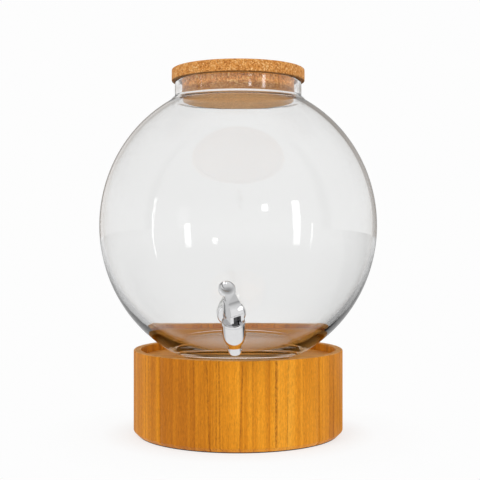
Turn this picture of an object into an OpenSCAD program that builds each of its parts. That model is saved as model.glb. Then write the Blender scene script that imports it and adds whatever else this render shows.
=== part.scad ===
// Countertop drinking-water dispenser: a glass globe with a wide neck and a cork lid stands in a
// coopered ring of wooden staves, and drains through a lever tap set low in its front.
// Millimetres. Z is up, the origin is on the ground under the middle of the base, the tap faces -Y.

/* [Base] */
// outside radius of the wooden ring
base_r = 113.3; // [95:0.1:130]
// thickness of each stave
stave_t = 8.2; // [5:0.1:14]
// height of the ring's rim above the ground
base_h = 91.3; // [60:0.1:130]
// number of staves round the ring
stave_n = 12; // [8:1:16]
// angle of the first joint between staves, from straight ahead towards +X
stave_turn = -14; // [-30:1:30]
// glue line between two staves, as an angle
glue_deg = 0.03; // [0.01:0.01:0.1]
// bevel round the bottom of the ring
base_bevel = 4.3; // [1:0.1:6]
// depth of the floor panel below the rim
floor_drop = 8.35; // [4:0.05:20]
// thickness of the floor panel
floor_t = 10; // [5:0.5:16]
// depth of the groove the floor panel sits in
croze = 3; // [1:0.5:5]
// thickness of the rubber ring under the staves
foot_t = 3.2; // [1.5:0.1:6]
// how far the rubber ring stands below the staves
foot_proud = 1; // [0.5:0.1:2]

/* [Glass] */
// outside radius of the globe at its widest
globe_a = 150; // [120:0.5:180]
// half the height the globe would have as a whole ellipse
globe_b = 155.4; // [120:0.1:190]
// height of the globe's widest ring above the ground
globe_z = 224.8; // [180:0.1:260]
// wall thickness at the sides and shoulder
wall_side = 4; // [2.5:0.1:8]
// wall thickness just above the foot
wall_foot = 10.6; // [4:0.1:16]
// outside radius of the neck
neck_r = 68.8; // [50:0.1:90]
// wall thickness of the neck
neck_wall = 4; // [2.5:0.1:8]
// height of the neck's rim above the ground
rim_z = 381.5; // [340:0.5:420]
// radius of the hole for the tap
hole_r = 8.7; // [6:0.1:14]

/* [Lid] */
// radius of the lid's disc
lid_r = 72.4; // [50:0.1:95]
// thickness of the lid's disc
lid_t = 12.85; // [6:0.05:25]
// radius of the lid's plug
plug_r = 61; // [40:0.5:85]
// depth of the plug below the disc
plug_h = 20; // [5:0.5:30]

/* [Tap] */
// how far round the globe the tap sits, from straight ahead towards +X
tap_turn = -3.1; // [-10:0.1:10]
// where the tap sits below the widest ring, as the ellipse's own angle
tap_low = 33; // [15:1:50]
// how far the tap was fitted out of square, turned towards +X
tap_skew = 8.5; // [-8:0.5:8]
// how far the tap was fitted out of level, top towards -X
tap_roll = 1; // [-8:0.5:8]
// distance from the glass to the middle of the tap's barrel
reach = 26; // [22:0.5:45]
// radius of the flange against the glass
flange_r = 14; // [12:0.1:20]
// radius of the threaded shank
shank_r = 8; // [6:0.1:8.4]
// length of the shank inside the glass
shank_in = 16.5; // [16:0.5:40]
// radius of the waterway through the shank
water_r = 5; // [3:0.1:6]
// radius of the lock nut across its corners
nut_r = 10.8; // [10:0.1:16]
// radius of the barrel at its top
barrel_r = 11.1; // [10.5:0.1:16]
// radius of the outlet's waist
outlet_r = 6; // [5.4:0.1:8]
// radius of the outlet's lip
lip_r = 6.7; // [6:0.1:9]
// height of the barrel's top lip above the shank's middle
barrel_top = 8.8; // [8:0.1:12]
// depth of the outlet below the shank's middle
barrel_low = 28.6; // [27:0.1:45]
// how far the lever is turned away from straight ahead at rest
lever_turn = 20; // [-60:1:60]
// height of the lever's pin above the shank's middle
pin_up = 15.3; // [14:0.1:17]
// how far the valve lifts when the lever is pulled right down
valve_lift = 3; // [2:0.1:4]
// how far the lever turns
lever_throw = 60; // [45:1:75]
// width of the lever's hood
hood_w = 13.8; // [12:0.1:18]
// width of the slot in the hood
slot_w = 7.5; // [7:0.1:8.5]
// radius of the hood's dome, seen from the side
dome_r = 10.6; // [10:0.1:13]
// length of the arm from the dome to the middle of the thumb button
arm_l = 13.5; // [9:0.1:40]
// thickness of the arm
arm_t = 4; // [2.5:0.1:6]
// how far the arm leans back from the barrel's line
arm_lean = 56; // [0:1:60]
// radius of the thumb button
button_r = 8.4; // [7:0.05:12]

/* [Hidden] */
$fn = 96;

wood = [0.80, 0.55, 0.28];
cork = [0.76, 0.56, 0.36];
metal = [0.80, 0.80, 0.82];
steel = [0.62, 0.62, 0.64];
nylon = [0.90, 0.90, 0.88];
silicone = [0.86, 0.87, 0.86];
black = [0.10, 0.10, 0.11];

gap = 0.02;                         // hairline left between fixed pieces
run = 0.05;                         // running clearance of moving pieces

in_r = base_r - stave_t;
groove_r = in_r + croze;
floor_top = base_h - floor_drop;
foot_z = floor_top + run;           // underside of the glass
foot_flat = foot_z + 10;            // inside bottom of the glass
t_foot = -asin((globe_z - foot_z) / globe_b);
t_neck = acos(neck_r / globe_a);
t_thick = -5;                       // the wall thickens below this angle
lid_z = rim_z + run;                // underside of the lid's disc

function lerp(a, b, u) = a + (b - a) * u;
function clamp01(u) = min(1, max(0, u));
function wall(t) = wall_side
  + (wall_foot - wall_side) * pow(clamp01((t_thick - t) / (t_thick - t_foot)), 1.4);
function on_globe(t) = [globe_a * cos(t), globe_z + globe_b * sin(t)];
function out_dir(t) = let(n = [cos(t) / globe_a, sin(t) / globe_b]) n / norm(n);

// outside of the globe from foot to neck, moved outwards by g
steps = 26;
function outer_pts(g) = [for (i = [0:steps]) let(t = lerp(t_foot, t_neck, i / steps))
  on_globe(t) + g * out_dir(t)];
// inside of the globe, moved inwards by g
function inner_pts(g) = [for (i = [0:steps]) let(t = lerp(t_foot, t_neck, i / steps),
  p = on_globe(t) - (wall(t) + g) * out_dir(t)) if (p[1] > foot_flat + 0.4 && p[1] < neck_in_z) p];

neck_in_r = neck_r - neck_wall;
// where the inside of the shoulder meets the inside of the neck
neck_in_z = globe_z + (globe_b - wall_side) * sin(acos(neck_in_r / (globe_a - wall_side)));
shoulder_z = globe_z + globe_b * sin(t_neck);
corner = 3;                         // round corner between the inside bottom and the wall

module globe_outside(g) rotate_extrude($fn = 720)
  polygon(concat([[0, foot_z - g]], outer_pts(g), [[0, shoulder_z + g]]));
module globe_inside(g) rotate_extrude($fn = 720)
  polygon(concat([[0, foot_flat + g]], [[inner_pts(g)[0][0] - corner, foot_flat + g]], inner_pts(g),
    [[neck_in_r, neck_in_z + 1], [0, neck_in_z + 1]]));

// the tap's own frame: on the glass at the hole, -Y outwards, Z along the barrel
module at_tap() {
  rotate([0, 0, tap_turn]) translate([0, -globe_a * cos(tap_low), globe_z - globe_b * sin(tap_low)])
    rotate([tap_tilt, 0, 0]) rotate([0, 0, tap_skew]) rotate([0, -tap_roll, 0]) children();
}
tap_tilt = atan((globe_a / globe_b) * tan(tap_low));
module at_barrel() { at_tap() translate([0, -reach, 0]) children(); }
module at_lever() { at_barrel() rotate([0, 0, lever_turn]) children(); }
module at_pin() { at_lever() translate([0, 0, pin_up]) children(); }
// children stand on z, their own +Z turned outwards along the shank
module outwards(z = 0) { at_tap() rotate([90, 0, 0]) translate([0, 0, z]) children(); }
// a flat ring standing on z = 0
module ring(h, r, bore) {
  difference() {
    cylinder(h = h, r = r);
    translate([0, 0, -1]) cylinder(h = h + 2, r = bore);
  }
}

flange_back = 2.4;                  // the flange stands this far off the glass
neck_out_r = 8.4;                   // neck between the flange and the barrel
gasket_in = 9.4;                    // depth of the inner gasket's flat face inside the hole
gasket_r = 11.2;
washer_t = 1;
nut_t = 5;
pitch = 2;
thread_depth = 0.6;
chamber_r = 7.6;
cap_r = 9.6;                        // bonnet's rim, let into the barrel's top
cap_t = 1.2;
outlet_in = 4.4;
seat_top = 7.2;
seat_low = 10;
stem_r = 2.6;
pin_r = 1.5;
bonnet_top = barrel_top + 0.1;
bonnet_low = 3.6;
spring_r = 4.5;
wire_r = 0.35;
head_w = 6.4;                       // square head of the stem
head_up = 2.5;                      // its top above the pin
seal_top = -4.8;
seal_r = 6.6;

// ---- base ----
function stave_pts() = let(z0 = foot_proud, b = base_bevel, soft = 0.6) [
  [groove_r, z0], [base_r - b - soft, z0], [base_r - b + 0.1, z0 + 0.25], [base_r - 0.25, z0 + b - 0.1],
  [base_r, z0 + b + soft], [base_r, base_h - 1.4], [base_r - 0.3, base_h - soft],
  [base_r - 0.8, base_h - 0.15], [base_r - 1.5, base_h], [in_r + 1.1, base_h],
  [in_r + 0.35, base_h - 0.25], [in_r, base_h - 0.9],
  [in_r, floor_top + gap], [groove_r, floor_top + gap],
  [groove_r, floor_top - floor_t - gap], [in_r, floor_top - floor_t - gap],
  [in_r, foot_t + gap], [groove_r, foot_t + gap]];
module stave(k) {
  color(wood) rotate([0, 0, -90 + stave_turn + k * 360 / stave_n + glue_deg / 2])
    rotate_extrude(angle = 360 / stave_n - glue_deg) polygon(stave_pts());
}
module stave_01() { stave(0); }
module stave_02() { stave(1); }
module stave_03() { stave(2); }
module stave_04() { stave(3); }
module stave_05() { stave(4); }
module stave_06() { stave(5); }
module stave_07() { stave(6); }
module stave_08() { stave(7); }
module stave_09() { stave(8); }
module stave_10() { stave(9); }
module stave_11() { stave(10); }
module stave_12() { stave(11); }

module base_floor_panel() {
  color(wood) translate([0, 0, floor_top - floor_t]) cylinder(h = floor_t, r = groove_r - 0.2);
}
module base_foot_ring() {
  color(black) ring(foot_t, groove_r - 0.1, in_r - 6);
}

// ---- glass ----
module glass_globe() {
  fil = 3.2;                        // round of the shoulder into the neck
  lip = 1.5;
  outer = outer_pts(0);
  inner = inner_pts(0);
  color([0.85, 0.92, 0.93, 0.35]) difference() {
    rotate_extrude() polygon(concat(
      [[0, foot_z], [outer[0][0] - 1.6, foot_z], [outer[0][0] - 0.3, foot_z + 0.5]],
      [for (i = [1:steps - 1]) outer[i]],
      [for (q = [0:30:90]) [neck_r + fil - fil * sin(q), shoulder_z + fil * (1.25 - cos(q)) - 0.6]],
      [for (q = [0:30:90]) [neck_r - lip + lip * cos(q), rim_z - lip + lip * sin(q)]],
      [for (q = [0:30:90]) [neck_in_r + lip - lip * sin(q), rim_z - lip + lip * cos(q)]],
      [[neck_in_r, neck_in_z]],
      [for (i = [len(inner) - 1:-1:0]) inner[i]],
      [[inner[0][0] - corner, foot_flat], [0, foot_flat]]));
    outwards(-30) cylinder(h = 60, r = hole_r);
  }
}

// ---- lid ----
module cork_lid_disc() {
  color(cork) translate([0, 0, lid_z]) rotate_extrude() polygon([[0, 0], [lid_r - 0.7, 0],
    [lid_r - 0.2, 0.25], [lid_r, 0.8], [lid_r, lid_t - 1.2], [lid_r - 0.35, lid_t - 0.4],
    [lid_r - 1.1, lid_t], [0, lid_t]]);
}
module cork_lid_plug() {
  color(cork) translate([0, 0, lid_z - plug_h]) rotate_extrude() polygon([[0, 0],
    [plug_r - 1, 0], [plug_r - 0.3, 0.3], [plug_r, 1], [plug_r, plug_h], [0, plug_h]]);
}

// ---- tap, fixed parts ----
taper_top = 2;                      // the barrel narrows from here
taper_l = 24.5;
function barrel_at(z) = let(u = pow(clamp01((taper_top - z) / taper_l), 2.2))
  outlet_r + (barrel_r - outlet_r) * (1 + cos(180 * u)) / 2;
function barrel_pts() = let(low = -barrel_low) concat(
  [[0, low], [lip_r - 1.3, low], [lip_r - 0.6, low + 0.3], [lip_r - 0.15, low + 1.3],
    [lip_r, low + 2.6], [lip_r - 0.4, low + 4.6]],
  [for (i = [0:9]) let(z = taper_top - taper_l * (1 - i / 9)) [barrel_at(z), z]],
  [[barrel_r, barrel_top - 0.6], [barrel_r - 0.25, barrel_top - 0.15],
    [barrel_r - 0.7, barrel_top], [0, barrel_top]]);
thread_n = floor((shank_in - gasket_in) / pitch);
function shank_pts() = let(core = shank_r - thread_depth, bulge = flange_r - 8.6) concat(
  [[0, -shank_in], [core, -shank_in]],
  [for (i = [0:thread_n - 1]) each let(z = -shank_in + 0.6 + i * pitch) [[shank_r, z + 0.1],
    [shank_r, z + 0.5], [core, z + 1.1], [core, z + 1.3], [shank_r, z + 1.9]]],
  [[shank_r, flange_back], [flange_r - 0.4, flange_back], [flange_r, flange_back + 0.4],
    [flange_r, flange_back + 1.3]],
  [for (q = [15:15:90]) [8.6 + bulge * cos(q), flange_back + 1.3 + 3.9 * sin(q)]],
  [[neck_out_r, reach - 8], [0, reach - 8]]);
module spigot_body() {
  color(metal) difference() {
    union() {
      at_barrel() rotate_extrude() polygon(barrel_pts());
      outwards() rotate_extrude() polygon(shank_pts());
      outwards(6) cylinder(h = reach - 10, r = neck_out_r);
    }
    outwards(-shank_in - 1) cylinder(h = shank_in + reach + 1, r = water_r);
    at_barrel() rotate_extrude() polygon([[0, -barrel_low - 1], [outlet_in, -barrel_low - 1],
      [outlet_in, -seat_low], [chamber_r, -seat_top], [chamber_r, barrel_top - cap_t - run],
      [cap_r + run, barrel_top - cap_t - run], [cap_r + run, barrel_top + 1], [0, barrel_top + 1]]);
  }
}
module spigot_outer_gasket() {
  color(silicone) difference() {
    outwards(-2) cylinder(h = 2 + flange_back - 0.01, r = flange_r - 0.1);
    globe_outside(gap);
    outwards(-9) cylinder(h = 20, r = shank_r + gap);
  }
}
module spigot_inner_gasket() {
  color(silicone) intersection() {
    outwards(-gasket_in) ring(gasket_in, gasket_r, shank_r + gap);
    globe_inside(gap);
  }
}
module spigot_slip_washer() {
  color(steel) outwards(-gasket_in - washer_t - 0.01) ring(washer_t, gasket_r - 0.2, shank_r + 0.2);
}
module spigot_lock_nut() {
  collar = 1.2;                     // round face against the washer
  color(nylon) outwards(-gasket_in - washer_t - 0.03 - nut_t) difference() {
    union() {
      cylinder(h = nut_t - collar, r = nut_r, $fn = 6);
      translate([0, 0, nut_t - collar]) cylinder(h = collar, r = nut_r - 0.2);
    }
    translate([0, 0, -1]) cylinder(h = nut_t + 2, r = shank_r + 0.03);
  }
}
ring_mid = 6.4;                     // height of the seal ring's groove
ring_half = 0.8;
module valve_bonnet() {
  bore = stem_r + run;
  color(metal) at_barrel() rotate_extrude() polygon([[bore, bonnet_low],
    [chamber_r - 1.2, bonnet_low], [chamber_r - run, bonnet_low + 1.2],
    [chamber_r - run, barrel_top - cap_t], [cap_r, barrel_top - cap_t], [cap_r, bonnet_top - 0.3],
    [cap_r - 0.3, bonnet_top], [bore, bonnet_top], [bore, ring_mid + ring_half],
    [bore + 1.45, ring_mid + ring_half], [bore + 1.45, ring_mid - ring_half],
    [bore, ring_mid - ring_half]]);
}
module stem_seal_ring() {
  color(black) at_barrel() translate([0, 0, ring_mid]) rotate_extrude()
    translate([stem_r + run + 0.7, 0]) circle(r = 0.68, $fn = 32);
}

// ---- tap, moving parts ----
module valve_stem() {
  low = -8.6;
  head_low = bonnet_top + 0.35;
  color(black) at_lever() difference() {
    union() {
      translate([0, 0, low]) cylinder(h = head_low + 1 - low, r = stem_r);
      translate([-head_w / 2, -head_w / 2, head_low]) cube([head_w, head_w, pin_up + head_up - head_low]);
    }
    translate([-head_w, 0, pin_up]) rotate([0, 90, 0]) cylinder(h = 2 * head_w, r = pin_r + run);
  }
}
module valve_seal() {
  slope = (chamber_r - outlet_in) / (seat_low - seat_top);
  low = -9.8;
  shoulder = -8;
  function on_seat(z) = outlet_in + (seat_low + z) * slope - 0.04;
  color(black) at_lever() difference() {
    rotate_extrude() polygon([[0, low], [on_seat(low), low], [on_seat(shoulder), shoulder],
      [seal_r, shoulder + 0.5], [seal_r, seal_top - 0.4], [seal_r - 0.4, seal_top], [0, seal_top]]);
    translate([0, 0, -8.62]) cylinder(h = 10, r = stem_r + gap);
  }
}
plate_t = 0.7;                      // washer between the spring and the bonnet
module spring_washer() {
  color(steel) at_lever() translate([0, 0, bonnet_low - plate_t - gap]) ring(plate_t, 5.4, stem_r + 0.15);
}
module valve_spring() {
  turns = 5;
  per = 14;                         // points in each turn
  side = 6;                         // points round the wire
  low = seal_top + gap + wire_r;
  high = bonnet_low - plate_t - 2 * gap - wire_r;
  n = turns * per;
  pts = [for (i = [0:n]) let(a = 360 * i / per, z = lerp(low, high, i / n)) for (j = [0:side - 1])
    let(b = 360 * j / side, r = spring_r - wire_r + wire_r * cos(b))
      [r * cos(a), r * sin(a), z + wire_r * sin(b)]];
  faces = concat([[for (j = [0:side - 1]) j]],
    [for (i = [0:n - 1]) for (j = [0:side - 1]) let(k = (j + 1) % side)
      [i * side + j, (i + 1) * side + j, (i + 1) * side + k, i * side + k]],
    [[for (j = [side - 1:-1:0]) n * side + j]]);
  color(steel) at_lever() polyhedron(points = pts, faces = faces, convexity = 10);
}

// Side view of the lever about its pin: points are forwards, up.
// The hood's underside is a cam: its height below the pin grows evenly with the lever's angle.
cam_h = pin_up - bonnet_top - 0.15;
cam_k = valve_lift / (lever_throw * PI / 180);
function cam(q) = let(h = cam_h + valve_lift * q / lever_throw)
  [h * sin(q) + cam_k * cos(q), -h * cos(q) + cam_k * sin(q)];
dome = [0, 22 - pin_up];            // middle of the dome
arm_dir = [-sin(arm_lean), cos(arm_lean)];
arm_face = [cos(arm_lean), sin(arm_lean)];
button = dome + [1, 8.9] + arm_l * arm_dir;
hood_back = -7.6;
hood_front = cam(lever_throw)[0];
visor = 2.2;                        // depth of the groove under the dome's front edge
slot_top = 4.2;                     // the slot clears the stem's head below this
function on_dome(q) = dome + dome_r * [cos(q), sin(q)];
function lever_side() = concat(
  [[hood_back + 1, -cam_h]], [for (q = [0:10:lever_throw]) cam(q)],
  [[hood_front, dome[1] - 1.3], [hood_front - visor, dome[1] - 1.1], [hood_front - visor, dome[1] - 0.2]],
  [for (q = [0:8:72]) on_dome(q)],
  [button + arm_face * arm_t / 2, button - arm_face * arm_t / 2],
  [for (q = [112:12:136]) on_dome(q)],
  [[hood_back, -cam_h + 1.2]]);
// front view: the hood narrows into the arm
function lever_front() = let(right = [[hood_w / 2, -20], [hood_w / 2, 2], [hood_w / 2 - 0.5, dome[1] + 3],
  [hood_w / 2 - 1.1, dome[1] + 8], [5.4, dome[1] + 11], [5.2, dome[1] + 14], [5.2, 60]])
  concat(right, [for (i = [len(right) - 1:-1:0]) [-right[i][0], right[i][1]]]);
dish_up = 2.2;                      // the dish sits this far above the button's middle
dish_r = 5.5;
dish_deep = 1.5;
dish_ball = (dish_r * dish_r + dish_deep * dish_deep) / (2 * dish_deep);
button_t = 2.2;                     // front of the button ahead of the arm's middle
module lever() {
  color(metal) at_pin() difference() {
    union() {
      intersection() {
        // forwards is -Y
        rotate([90, 0, -90]) translate([0, 0, -hood_w]) linear_extrude(height = 2 * hood_w)
          polygon(lever_side());
        rotate([90, 0, 0]) translate([0, 0, -40]) linear_extrude(height = 80) polygon(lever_front());
      }
      // thumb button, facing forwards and up
      at_button() rotate_extrude() polygon([[0, -button_t - 0.4], [button_r - 2.8, -button_t - 0.3],
        [button_r - 0.9, -button_t + 0.5], [button_r, -0.2], [button_r, 0.4],
        [button_r - 0.4, button_t - 0.7], [button_r - 1.3, button_t], [0, button_t]]);
    }
    at_button() translate([0, dish_up, button_t + dish_ball - dish_deep]) sphere(r = dish_ball);
    // slot that lets the stem's head pass as the lever comes down
    translate([-slot_w / 2, -30, -20]) cube([slot_w, 30 + 5.5, 20 + slot_top]);
    translate([-hood_w, 0, 0]) rotate([0, 90, 0]) cylinder(h = 2 * hood_w, r = pin_r + 0.01);
  }
}
// z along the way the button faces, y up the arm
module at_button() { translate([0, -button[0], button[1]]) rotate([90 - arm_lean, 0, 0]) children(); }
module lever_pivot_pin() {
  color(steel) at_pin() translate([-hood_w / 2 + 0.2, 0, 0]) rotate([0, 90, 0])
    cylinder(h = hood_w - 0.4, r = pin_r);
}

glass_globe();
stave_01();
stave_02();
stave_03();
stave_04();
stave_05();
stave_06();
stave_07();
stave_08();
stave_09();
stave_10();
stave_11();
stave_12();
base_floor_panel();
base_foot_ring();
cork_lid_disc();
cork_lid_plug();
spigot_body();
spigot_outer_gasket();
spigot_inner_gasket();
spigot_slip_washer();
spigot_lock_nut();
valve_bonnet();
stem_seal_ring();
valve_stem();
valve_seal();
valve_spring();
spring_washer();
lever();
lever_pivot_pin();
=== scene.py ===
"""Countertop water dispenser.

A clear glass globe with a cork lid stands in a coopered wooden ring, with a chrome-plated lever tap
low in its front. Profiles are in millimetres, and new_object brings them to metres.
"""

import math

import bmesh
import bpy
from mathutils import Matrix, Vector, noise


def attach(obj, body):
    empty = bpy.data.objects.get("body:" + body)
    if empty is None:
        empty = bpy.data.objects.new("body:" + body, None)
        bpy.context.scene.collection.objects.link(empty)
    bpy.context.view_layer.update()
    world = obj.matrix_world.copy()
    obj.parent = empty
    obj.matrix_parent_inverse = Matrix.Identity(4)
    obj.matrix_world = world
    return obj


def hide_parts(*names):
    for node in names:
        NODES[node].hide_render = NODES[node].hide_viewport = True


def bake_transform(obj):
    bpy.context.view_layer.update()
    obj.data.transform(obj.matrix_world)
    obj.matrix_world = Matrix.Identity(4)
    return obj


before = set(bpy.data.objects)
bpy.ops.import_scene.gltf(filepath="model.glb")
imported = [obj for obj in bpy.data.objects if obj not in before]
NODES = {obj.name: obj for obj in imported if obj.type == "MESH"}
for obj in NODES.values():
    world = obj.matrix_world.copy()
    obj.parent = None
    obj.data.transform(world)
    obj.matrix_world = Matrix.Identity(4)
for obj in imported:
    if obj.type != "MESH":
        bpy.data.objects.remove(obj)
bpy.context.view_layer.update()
MM = 0.001


# ---- sizes, in millimetres and degrees, as the CAD has them ----

# base: outer radius, thickness and height of the staves, their count, turn, glue joint and bevel
BASE_R, STAVE_T, BASE_H = 113.3, 8.2, 91.3
STAVES, STAVE_TURN, GLUE_DEG, BEVEL = 12, -14.0, 0.03, 4.3
# floor panel: its top, its thickness and the depth of the groove that holds it
FLOOR_TOP, FLOOR_T, CROZE = 82.95, 10.0, 3.0
# rubber ring below: its height, and how far it stands proud of the staves
FOOT_T, FOOT_PROUD = 3.2, 1.0
# globe: half its width, half its height, its middle; its wall at the side and at the foot, and the
# angle below which the wall thickens; the thickness of its foot
GLOBE_A, GLOBE_B, GLOBE_Z = 150.0, 155.4, 224.8
WALL_SIDE, WALL_FOOT, THICK_BELOW, FOOT_THICK = 4.0, 10.6, -5.0, 10
# neck: outer radius, wall, fillet at the shoulder, rim's height and rounding; the hole for the tap
NECK_R, NECK_WALL, SHOULDER_R, RIM_Z, RIM_R, HOLE_R = 68.8, 4.0, 3.2, 381.5, 1.9, 8.7
# cork lid: disc and plug
LID_R, LID_T, PLUG_R, PLUG_H = 72.4, 12.85, 61.0, 20.0
# tap's place: its turn about the upright, its angle below the globe's middle, its turn about its own
# axes, and how far out from the glass the barrel's axis is
TAP_TURN, TAP_LOW, TAP_SKEW, TAP_ROLL, REACH = -3.1, 33.0, 8.5, 1.0, 26.0
# tap's flange, shank and waterway: radii; how far the shank goes in, and how far out the flange begins
FLANGE_R, SHANK_R, WATER_R, SHANK_IN, FLANGE_BACK = 14.0, 8.0, 5.0, 16.5, 2.4
# the shank's thread, and the radius of the neck between flange and barrel
THREADS, THREAD_DEPTH, PITCH, NECK_OUT_R = 3, 0.6, 2.0, 8.4
# tap's barrel: radii, its ends above and below the shank's axis, and the taper to its outlet
BARREL_R, OUTLET_R, LIP_R, BARREL_TOP, BARREL_LOW = 11.1, 6.0, 6.7, 8.8, 28.6
TAPER_TOP, TAPER_L = 2.0, 24.5
# inside of the barrel: chamber, outlet, seat and the recess for the bonnet
CHAMBER_R, OUTLET_IN, SEAT_TOP, SEAT_LOW, CAP_R, CAP_T = 7.6, 4.4, 7.2, 10.0, 9.65, 1.25
# lever: its turn, the pin's height and radius, the valve's lift and the lever's throw; how proud the
# bonnet is of the barrel, and the gap between it and the lever's cam
LEVER_TURN, PIN_UP, PIN_R, LIFT, THROW = 20.0, 15.3, 1.5, 3.0, 60.0
CAP_PROUD, CAM_GAP = 0.1, 0.15
# lever's hood, slot and dome; the groove under the dome and the arm; the button and its thumb dish
HOOD_W, HOOD_BACK, SLOT_W, SLOT_TOP, DOME_R, DOME_UP = 13.8, -7.6, 7.5, 4.2, 10.6, 6.7
VISOR, ARM_L, ARM_T, ARM_LEAN = 2.2, 13.5, 4.0, 56.0
BUTTON_R, BUTTON_T, DISH_UP, DISH_R, DISH_DEEP = 8.4, 2.2, 2.2, 5.5, 1.5
# valve spring: turns, radii of coil and wire, and its ends along the barrel
SPRING_TURNS, SPRING_R, WIRE_R, SPRING_LOW, SPRING_HIGH = 5, 4.15, 0.35, -4.43, 2.51
# gap between pieces that rest on each other, and how snug the floor panel and foot ring fit
GAP, SNUG = 0.05, 0.02

FOOT_Z = FLOOR_TOP + GAP
LID_Z = RIM_Z + GAP
IN_R = BASE_R - STAVE_T
GROOVE_R = IN_R + CROZE

# how much lighter or darker each stave's wood is, from the first joint round towards +X
STAVE_TONES = [0.02, 0.13, 0.0, 0.05, -0.06, 0.08, -0.02, 0.1, 0.03, -0.05, 0.0, -0.1]


def turn(degrees, axis):
    return Matrix.Rotation(math.radians(degrees), 4, axis)


def spot(x, y, z):
    return Matrix.Translation(Vector((x, y, z)) * MM)


# places of the tap's pieces; TAP_TILT is the lean of the globe's wall there
TAP_ANGLE = math.radians(TAP_LOW)
TAP_TILT = math.degrees(math.atan(GLOBE_A / GLOBE_B * math.tan(TAP_ANGLE)))
AT_TAP = (
    turn(TAP_TURN, "Z")
    @ spot(0, -GLOBE_A * math.cos(TAP_ANGLE), GLOBE_Z - GLOBE_B * math.sin(TAP_ANGLE))
    @ turn(TAP_TILT, "X")
    @ turn(TAP_SKEW, "Z")
    @ turn(-TAP_ROLL, "Y")
)
AT_SHANK = AT_TAP @ turn(90, "X")
AT_BARREL = AT_TAP @ spot(0, -REACH, 0)
AT_LEVER = AT_BARREL @ turn(LEVER_TURN, "Z")
AT_PIN = AT_LEVER @ spot(0, 0, PIN_UP)
ARM_DIR = (-math.sin(math.radians(ARM_LEAN)), math.cos(math.radians(ARM_LEAN)))
ARM_FACE = (math.cos(math.radians(ARM_LEAN)), math.sin(math.radians(ARM_LEAN)))
ARM_ROOT = (1.0, DOME_UP + 8.9)
BUTTON = (ARM_ROOT[0] + ARM_L * ARM_DIR[0], ARM_ROOT[1] + ARM_L * ARM_DIR[1])
AT_BUTTON = AT_PIN @ spot(0, -BUTTON[0], BUTTON[1]) @ turn(90 - ARM_LEAN, "X")


# ---- mesh helpers ----

def new_object(name, bm, sharp=38.0, where=None):
    """A smooth-shaded object from bm, which is in millimetres, with its edges sharp above an angle."""
    bmesh.ops.scale(bm, vec=(MM, MM, MM), verts=bm.verts)
    if where is not None:
        bmesh.ops.transform(bm, matrix=where, verts=bm.verts)
    bmesh.ops.recalc_face_normals(bm, faces=bm.faces)
    mesh = bpy.data.meshes.new(name)
    bm.to_mesh(mesh)
    bm.free()
    mesh.shade_smooth()
    mesh.set_sharp_from_angle(angle=math.radians(sharp))
    obj = bpy.data.objects.new(name, mesh)
    bpy.context.scene.collection.objects.link(obj)
    return obj


def lathe(profile, steps=96, closed=True, start=0.0, sweep=360.0):
    """bmesh of a profile of (radius, height) turned about Z.

    A closed profile's last point joins its first. A sweep of less than a full turn is capped.
    """
    bm = bmesh.new()
    whole = abs(sweep) >= 360
    rows = steps if whole else steps + 1
    rings = []
    for r, z in profile:
        if r < 1e-6:
            rings.append([bm.verts.new((0, 0, z))] * rows)
            continue
        ring = []
        for i in range(rows):
            a = math.radians(start + sweep * i / steps)
            ring.append(bm.verts.new((r * math.cos(a), r * math.sin(a), z)))
        rings.append(ring)
    pairs = list(zip(rings, rings[1:]))
    if closed and len(profile) > 2 and not (profile[0][0] < 1e-6 and profile[-1][0] < 1e-6):
        pairs.append((rings[-1], rings[0]))
    for low, high in pairs:
        for i in range(steps):
            j = (i + 1) % rows
            corners = list(dict.fromkeys([low[i], low[j], high[j], high[i]]))
            if len(corners) > 2:
                bm.faces.new(corners)
    if not whole:
        bm.faces.new([ring[0] for ring in rings])
        bm.faces.new([ring[-1] for ring in reversed(rings)])
    return bm


def prism(outline, low, high, where):
    """bmesh of an outline of (x, y) drawn out from low to high along Z, then placed."""
    bm = bmesh.new()
    ends = [[bm.verts.new((x, y, z)) for x, y in outline] for z in (low, high)]
    count = len(outline)
    for i in range(count):
        j = (i + 1) % count
        bm.faces.new((ends[0][i], ends[0][j], ends[1][j], ends[1][i]))
    bm.faces.new(list(reversed(ends[0])))
    bm.faces.new(ends[1])
    bmesh.ops.transform(bm, matrix=where, verts=bm.verts)
    return bm


def box_bm(low, high):
    """bmesh of a box between two corners."""
    bm = bmesh.new()
    bmesh.ops.create_cube(bm, size=1.0)
    for v in bm.verts:
        for k in range(3):
            v.co[k] = low[k] if v.co[k] < 0 else high[k]
    return bm


def combine(base, tool, operation):
    """Changes the object base by a boolean with the object tool, which is used up."""
    mod = base.modifiers.new("combine", "BOOLEAN")
    mod.operation = operation
    mod.solver = "EXACT"
    mod.object = tool
    mesh = bpy.data.meshes.new_from_object(base.evaluated_get(bpy.context.evaluated_depsgraph_get()))
    base.modifiers.clear()
    base.data = mesh
    bpy.data.objects.remove(tool)


def sharpen(obj, degrees):
    """Smooth shading, with edges sharp above an angle."""
    obj.data.shade_smooth()
    obj.data.set_sharp_from_angle(angle=math.radians(degrees))


def arc(cx, cz, r, a0, a1, count):
    """Points of an arc about (cx, cz), from angle a0 to a1 in degrees, in count steps."""
    angles = [math.radians(a0 + (a1 - a0) * i / count) for i in range(count + 1)]
    return [(cx + r * math.cos(a), cz + r * math.sin(a)) for a in angles]


def clamp(u):
    return min(1.0, max(0.0, u))


# ---- material helpers ----

def srgb(r, g, b):
    """Linear colour of an 8-bit screen colour."""
    def lin(c):
        c /= 255.0
        return c / 12.92 if c <= 0.04045 else ((c + 0.055) / 1.055) ** 2.4
    return (lin(r), lin(g), lin(b), 1.0)


def flat_grey(level):
    return (level, level, level, 1.0)


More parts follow.
